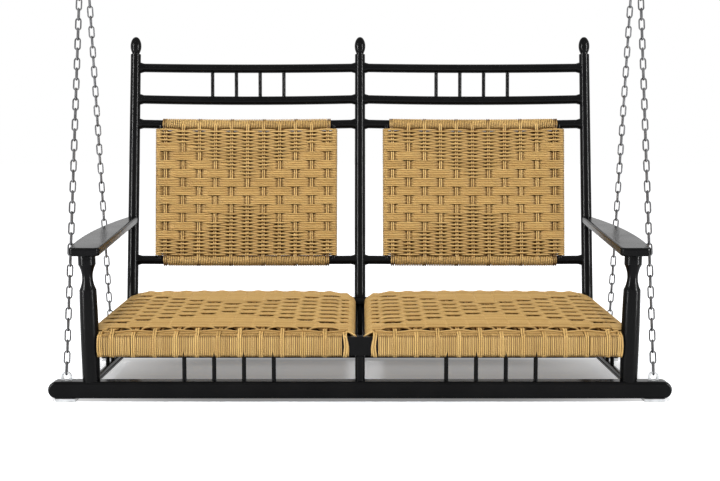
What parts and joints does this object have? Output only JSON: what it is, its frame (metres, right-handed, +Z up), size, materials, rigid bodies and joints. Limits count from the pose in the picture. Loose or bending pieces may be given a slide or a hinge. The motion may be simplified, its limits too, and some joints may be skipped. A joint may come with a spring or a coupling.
{
  "type": "porch swing",
  "caption": "Two-seat porch swing with a dark welded frame, woven seat and back panels, shaped arms and chains that hang it from ceiling eyes.",
  "frame": {"origin": "middle of the hanging line, the axis through the bearing points of the two ceiling eyes that the bench swings about", "axes": "+X along the bench, to the right as seen from the front, +Y to the rear, +Z up along the eye screws"},
  "size_m": [1.28, 0.6158, 1.175],
  "materials": {
    "black_frame": "satin powder coat",
    "wicker": "satin woven cord",
    "chain_steel": "satin zinc",
    "zinc_steel": "satin zinc"
  },
  "bodies": {
    "ceiling_eyes": {"ceiling_eye_left": "chain_steel", "ceiling_eye_right": "chain_steel"},
    "swing": {"arm_left": "black_frame", "arm_right": "black_frame", "base_side_rail_left": "black_frame", "base_side_rail_right": "black_frame", "chain_front_left": "chain_steel", "chain_front_right": "chain_steel", "chain_rear_left": "chain_steel", "chain_rear_right": "chain_steel", "crest_spindles_left": "black_frame", "crest_spindles_right": "black_frame", "eye_bolts": "zinc_steel", "feet": "zinc_steel", "finial_left": "black_frame", "finial_middle": "black_frame", "finial_right": "black_frame", "front_base_rail": "black_frame", "front_post_left": "black_frame", "front_post_right": "black_frame", "front_spindles_left": "black_frame", "front_spindles_right": "black_frame", "hanging_ring_left": "chain_steel", "hanging_ring_right": "chain_steel", "middle_front_post": "black_frame", "panel_bottom_bar_left": "black_frame", "panel_bottom_bar_right": "black_frame", "panel_rod_left_inner": "black_frame", "panel_rod_left_outer": "black_frame", "panel_rod_right_inner": "black_frame", "panel_rod_right_outer": "black_frame", "panel_top_bar_left": "black_frame", "panel_top_bar_right": "black_frame", "rear_base_rail": "black_frame", "rear_post_left": "black_frame", "rear_post_middle": "black_frame", "rear_post_right": "black_frame", "seat_front_beam": "black_frame", "seat_inner_rail_left": "black_frame", "seat_inner_rail_right": "black_frame", "seat_outer_rail_left": "black_frame", "seat_outer_rail_right": "black_frame", "seat_rear_rail": "black_frame", "second_rail_left": "black_frame", "second_rail_right": "black_frame", "side_spindles_left": "black_frame", "side_spindles_right": "black_frame", "top_rail_left": "black_frame", "top_rail_right": "black_frame", "woven_back_left": "wicker", "woven_back_right": "wicker", "woven_seat_left": "wicker", "woven_seat_right": "wicker"}
  },
  "joints": [
    {"name": "swing", "type": "hinge", "parent": "ceiling_eyes", "child": "swing", "pos_m": [0, 0, 0], "axis": [1, 0, 0], "range_deg": [-25, 25]}
  ]
}
